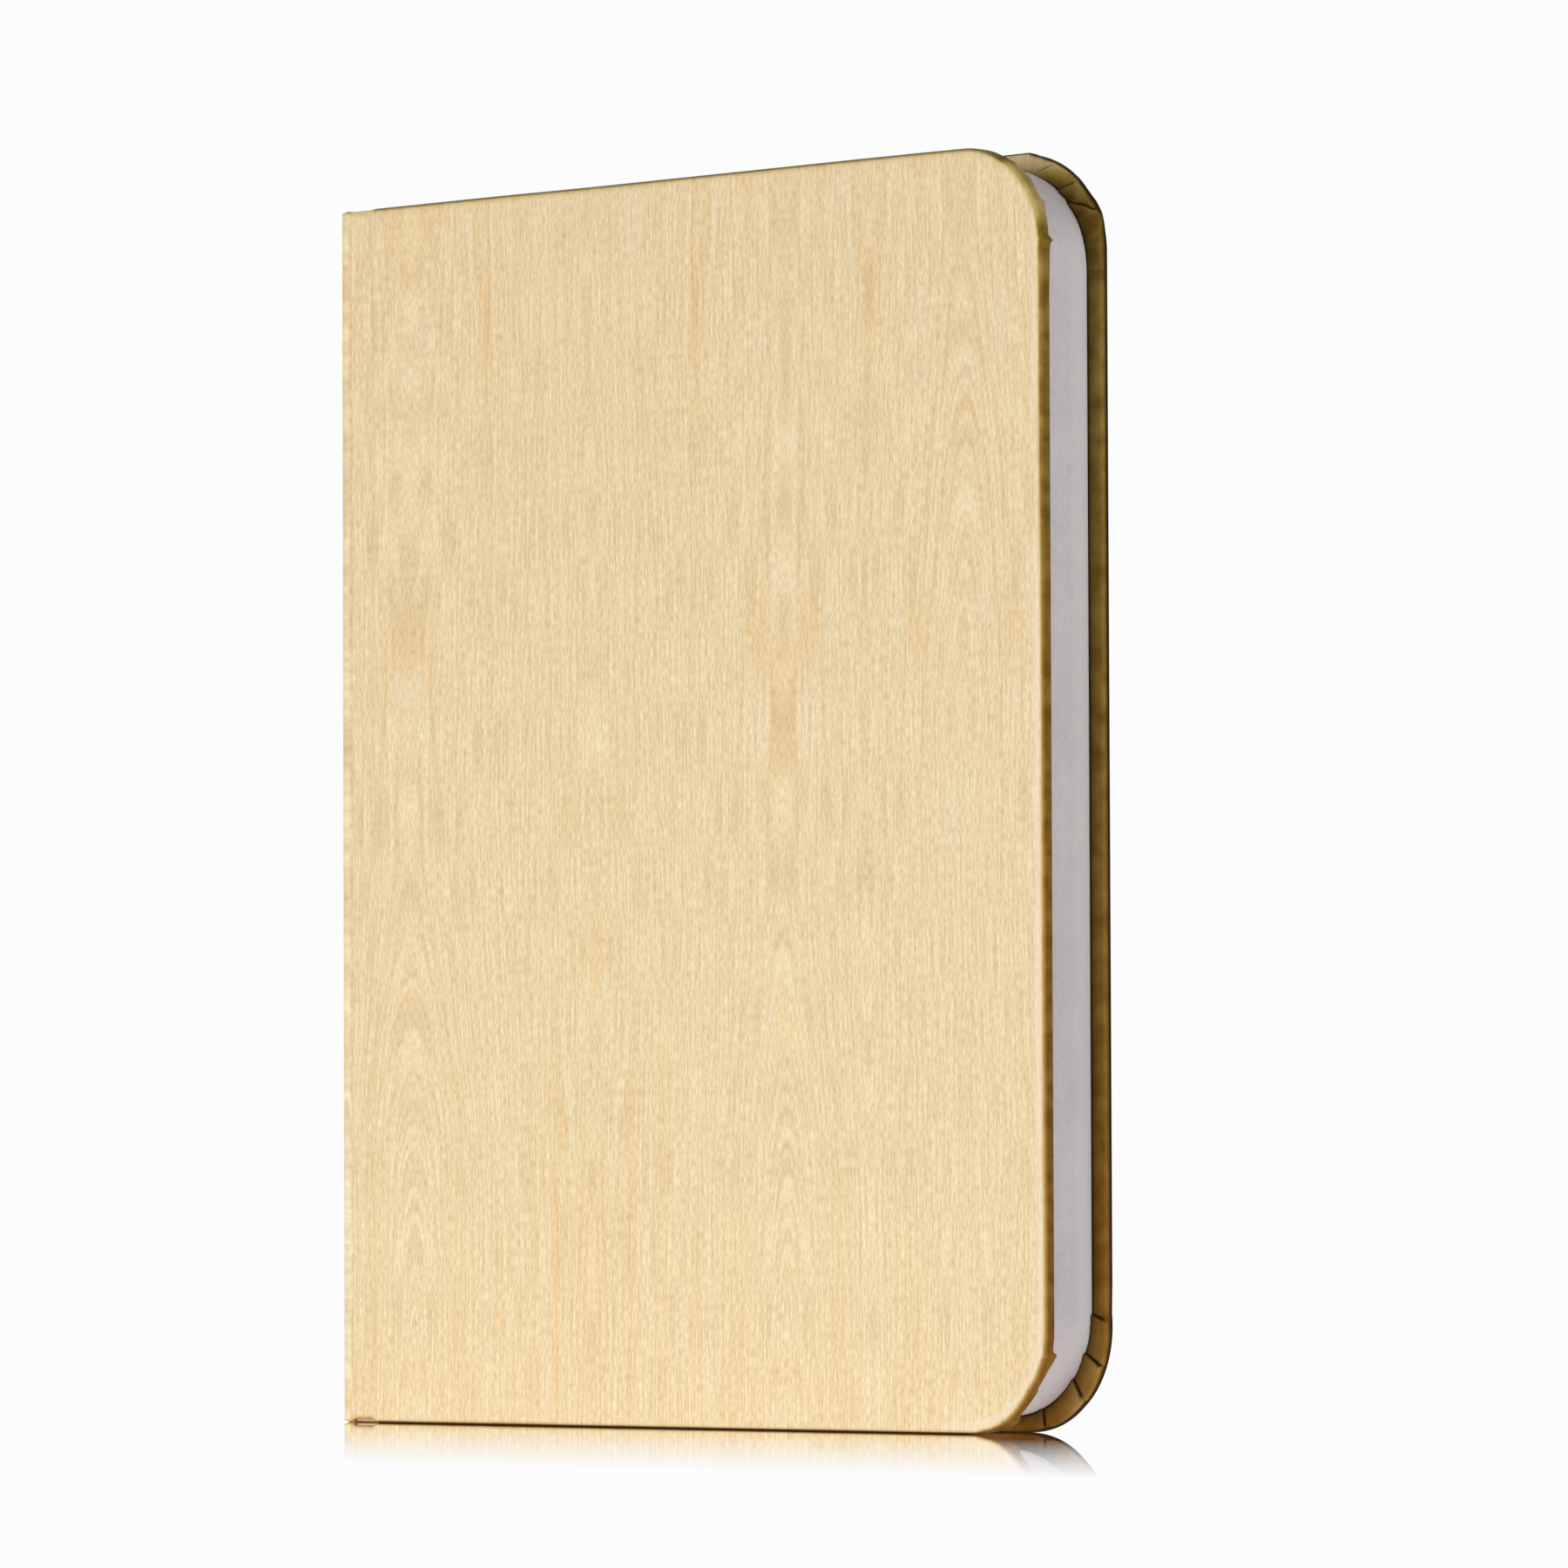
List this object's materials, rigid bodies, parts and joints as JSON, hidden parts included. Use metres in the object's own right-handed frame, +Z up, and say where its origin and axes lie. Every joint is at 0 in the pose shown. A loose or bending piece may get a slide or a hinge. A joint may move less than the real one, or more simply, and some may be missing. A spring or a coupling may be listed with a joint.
{
  "type": "folding book lamp",
  "caption": "Rechargeable lamp in book form: wood-grain covers fold back and fan an accordion of translucent leaves round a lit spine.",
  "frame": {"origin": "middle of the foot of the closed lamp, on the surface it stands on", "axes": "+X from the spine to the fore-edge, +Y from the front cover to the back cover, +Z up"},
  "size_m": [0.17, 0.0164, 0.215],
  "materials": {
    "covering": "satin",
    "board": "matte",
    "leaf": "matte",
    "tape": "matte",
    "white_plastic": "satin",
    "frosted_plastic": "satin",
    "light_board": "satin",
    "light": "gloss",
    "light_lead": "satin",
    "battery_lead": "satin",
    "cell": "satin",
    "foam": "matte",
    "circuit_board": "satin",
    "black_plastic": "matte",
    "steel": "satin",
    "magnet": "polished"
  },
  "bodies": {
    "light_core": {"spine_board": "board", "spine_wrap": "covering", "spine_tape": "tape", "core_channel": "white_plastic", "nose_diffuser": "frosted_plastic", "top_cap": "white_plastic", "bottom_cap": "white_plastic", "cap_screws": "steel", "light_bar": "white_plastic", "front_light_board": "light_board", "back_light_board": "light_board", "front_lights": "light", "back_lights": "light", "light_leads": "light_lead", "battery_cells": "cell", "cell_pads": "foam", "battery_leads": "battery_lead", "control_board": "circuit_board", "board_parts": "black_plastic", "hall_sensor": "black_plastic", "board_screws": "steel", "charge_socket": "steel"},
    "front_cover": {"front_board": "board", "front_wrap": "covering", "front_end_leaf": "leaf", "front_magnets": "magnet", "switch_magnet": "magnet"},
    "back_cover": {"back_board": "board", "back_wrap": "covering", "back_end_leaf": "leaf", "back_magnets": "magnet"},
    "front_pleat_01": {"front_pleat_01": "leaf"},
    "front_pleat_02": {"front_pleat_02": "leaf"},
    "front_pleat_03": {"front_pleat_03": "leaf"},
    "front_pleat_04": {"front_pleat_04": "leaf"},
    "front_pleat_05": {"front_pleat_05": "leaf"},
    "front_pleat_06": {"front_pleat_06": "leaf"},
    "front_pleat_07": {"front_pleat_07": "leaf"},
    "front_pleat_08": {"front_pleat_08": "leaf"},
    "front_pleat_09": {"front_pleat_09": "leaf"},
    "front_pleat_10": {"front_pleat_10": "leaf"},
    "front_pleat_11": {"front_pleat_11": "leaf"},
    "front_pleat_12": {"front_pleat_12": "leaf"},
    "back_pleat_01": {"back_pleat_01": "leaf"},
    "back_pleat_02": {"back_pleat_02": "leaf"},
    "back_pleat_03": {"back_pleat_03": "leaf"},
    "back_pleat_04": {"back_pleat_04": "leaf"},
    "back_pleat_05": {"back_pleat_05": "leaf"},
    "back_pleat_06": {"back_pleat_06": "leaf"},
    "back_pleat_07": {"back_pleat_07": "leaf"},
    "back_pleat_08": {"back_pleat_08": "leaf"},
    "back_pleat_09": {"back_pleat_09": "leaf"},
    "back_pleat_10": {"back_pleat_10": "leaf"},
    "back_pleat_11": {"back_pleat_11": "leaf"},
    "back_pleat_12": {"back_pleat_12": "leaf"}
  },
  "joints": [
    {"name": "front_cover_fold", "type": "hinge", "parent": "light_core", "child": "front_cover", "pos_m": [-0.0818, -0.00835, 0], "axis": [0, 0, -1], "range_deg": [0, 182.8]},
    {"name": "front_pleat_01_fold", "type": "hinge", "parent": "light_core", "child": "front_pleat_01", "pos_m": [-0.05701, -0.00025, 0], "axis": [0, 0, -1], "range_deg": [0, 7.53]},
    {"name": "front_pleat_02_fold", "type": "hinge", "parent": "light_core", "child": "front_pleat_02", "pos_m": [-0.0571, -0.00074, 0], "axis": [0, 0, -1], "range_deg": [0, 21.59]},
    {"name": "front_pleat_03_fold", "type": "hinge", "parent": "light_core", "child": "front_pleat_03", "pos_m": [-0.05727, -0.00123, 0], "axis": [0, 0, -1], "range_deg": [0, 35.65]},
    {"name": "front_pleat_04_fold", "type": "hinge", "parent": "light_core", "child": "front_pleat_04", "pos_m": [-0.05754, -0.00172, 0], "axis": [0, 0, -1], "range_deg": [0, 49.72]},
    {"name": "front_pleat_05_fold", "type": "hinge", "parent": "light_core", "child": "front_pleat_05", "pos_m": [-0.05791, -0.00221, 0], "axis": [0, 0, -1], "range_deg": [0, 63.78]},
    {"name": "front_pleat_06_fold", "type": "hinge", "parent": "light_core", "child": "front_pleat_06", "pos_m": [-0.05839, -0.0027, 0], "axis": [0, 0, -1], "range_deg": [0, 77.84]},
    {"name": "front_pleat_07_fold", "type": "hinge", "parent": "light_core", "child": "front_pleat_07", "pos_m": [-0.05899, -0.0032, 0], "axis": [0, 0, -1], "range_deg": [0, 91.9]},
    {"name": "front_pleat_08_fold", "type": "hinge", "parent": "light_core", "child": "front_pleat_08", "pos_m": [-0.05974, -0.00369, 0], "axis": [0, 0, -1], "range_deg": [0, 105.96]},
    {"name": "front_pleat_09_fold", "type": "hinge", "parent": "light_core", "child": "front_pleat_09", "pos_m": [-0.06068, -0.00418, 0], "axis": [0, 0, -1], "range_deg": [0, 120.02]},
    {"name": "front_pleat_10_fold", "type": "hinge", "parent": "light_core", "child": "front_pleat_10", "pos_m": [-0.06186, -0.00467, 0], "axis": [0, 0, -1], "range_deg": [0, 134.08]},
    {"name": "front_pleat_11_fold", "type": "hinge", "parent": "light_core", "child": "front_pleat_11", "pos_m": [-0.06345, -0.00516, 0], "axis": [0, 0, -1], "range_deg": [0, 148.15]},
    {"name": "front_pleat_12_fold", "type": "hinge", "parent": "light_core", "child": "front_pleat_12", "pos_m": [-0.06593, -0.00565, 0], "axis": [0, 0, -1], "range_deg": [0, 162.21]},
    {"name": "back_cover_fold", "type": "hinge", "parent": "light_core", "child": "back_cover", "pos_m": [-0.0818, 0.00835, 0], "axis": [0, 0, 1], "range_deg": [0, 182.8]},
    {"name": "back_pleat_01_fold", "type": "hinge", "parent": "light_core", "child": "back_pleat_01", "pos_m": [-0.05701, 0.00025, 0], "axis": [0, 0, 1], "range_deg": [0, 7.53]},
    {"name": "back_pleat_02_fold", "type": "hinge", "parent": "light_core", "child": "back_pleat_02", "pos_m": [-0.0571, 0.00074, 0], "axis": [0, 0, 1], "range_deg": [0, 21.59]},
    {"name": "back_pleat_03_fold", "type": "hinge", "parent": "light_core", "child": "back_pleat_03", "pos_m": [-0.05727, 0.00123, 0], "axis": [0, 0, 1], "range_deg": [0, 35.65]},
    {"name": "back_pleat_04_fold", "type": "hinge", "parent": "light_core", "child": "back_pleat_04", "pos_m": [-0.05754, 0.00172, 0], "axis": [0, 0, 1], "range_deg": [0, 49.72]},
    {"name": "back_pleat_05_fold", "type": "hinge", "parent": "light_core", "child": "back_pleat_05", "pos_m": [-0.05791, 0.00221, 0], "axis": [0, 0, 1], "range_deg": [0, 63.78]},
    {"name": "back_pleat_06_fold", "type": "hinge", "parent": "light_core", "child": "back_pleat_06", "pos_m": [-0.05839, 0.0027, 0], "axis": [0, 0, 1], "range_deg": [0, 77.84]},
    {"name": "back_pleat_07_fold", "type": "hinge", "parent": "light_core", "child": "back_pleat_07", "pos_m": [-0.05899, 0.0032, 0], "axis": [0, 0, 1], "range_deg": [0, 91.9]},
    {"name": "back_pleat_08_fold", "type": "hinge", "parent": "light_core", "child": "back_pleat_08", "pos_m": [-0.05974, 0.00369, 0], "axis": [0, 0, 1], "range_deg": [0, 105.96]},
    {"name": "back_pleat_09_fold", "type": "hinge", "parent": "light_core", "child": "back_pleat_09", "pos_m": [-0.06068, 0.00418, 0], "axis": [0, 0, 1], "range_deg": [0, 120.02]},
    {"name": "back_pleat_10_fold", "type": "hinge", "parent": "light_core", "child": "back_pleat_10", "pos_m": [-0.06186, 0.00467, 0], "axis": [0, 0, 1], "range_deg": [0, 134.08]},
    {"name": "back_pleat_11_fold", "type": "hinge", "parent": "light_core", "child": "back_pleat_11", "pos_m": [-0.06345, 0.00516, 0], "axis": [0, 0, 1], "range_deg": [0, 148.15]},
    {"name": "back_pleat_12_fold", "type": "hinge", "parent": "light_core", "child": "back_pleat_12", "pos_m": [-0.06593, 0.00565, 0], "axis": [0, 0, 1], "range_deg": [0, 162.21]}
  ],
  "couplings": [
    {"joint": "front_pleat_01_fold", "follows": "front_cover_fold", "ratio": 0.038462},
    {"joint": "front_pleat_02_fold", "follows": "front_cover_fold", "ratio": 0.11539},
    {"joint": "front_pleat_03_fold", "follows": "front_cover_fold", "ratio": 0.19231},
    {"joint": "front_pleat_04_fold", "follows": "front_cover_fold", "ratio": 0.26923},
    {"joint": "front_pleat_05_fold", "follows": "front_cover_fold", "ratio": 0.34615},
    {"joint": "front_pleat_06_fold", "follows": "front_cover_fold", "ratio": 0.42308},
    {"joint": "front_pleat_07_fold", "follows": "front_cover_fold", "ratio": 0.5},
    {"joint": "front_pleat_08_fold", "follows": "front_cover_fold", "ratio": 0.57692},
    {"joint": "front_pleat_09_fold", "follows": "front_cover_fold", "ratio": 0.65385},
    {"joint": "front_pleat_10_fold", "follows": "front_cover_fold", "ratio": 0.73077},
    {"joint": "front_pleat_11_fold", "follows": "front_cover_fold", "ratio": 0.80769},
    {"joint": "front_pleat_12_fold", "follows": "front_cover_fold", "ratio": 0.88462},
    {"joint": "back_pleat_01_fold", "follows": "back_cover_fold", "ratio": 0.038462},
    {"joint": "back_pleat_02_fold", "follows": "back_cover_fold", "ratio": 0.11539},
    {"joint": "back_pleat_03_fold", "follows": "back_cover_fold", "ratio": 0.19231},
    {"joint": "back_pleat_04_fold", "follows": "back_cover_fold", "ratio": 0.26923},
    {"joint": "back_pleat_05_fold", "follows": "back_cover_fold", "ratio": 0.34615},
    {"joint": "back_pleat_06_fold", "follows": "back_cover_fold", "ratio": 0.42308},
    {"joint": "back_pleat_07_fold", "follows": "back_cover_fold", "ratio": 0.5},
    {"joint": "back_pleat_08_fold", "follows": "back_cover_fold", "ratio": 0.57692},
    {"joint": "back_pleat_09_fold", "follows": "back_cover_fold", "ratio": 0.65385},
    {"joint": "back_pleat_10_fold", "follows": "back_cover_fold", "ratio": 0.73077},
    {"joint": "back_pleat_11_fold", "follows": "back_cover_fold", "ratio": 0.80769},
    {"joint": "back_pleat_12_fold", "follows": "back_cover_fold", "ratio": 0.88462}
  ]
}
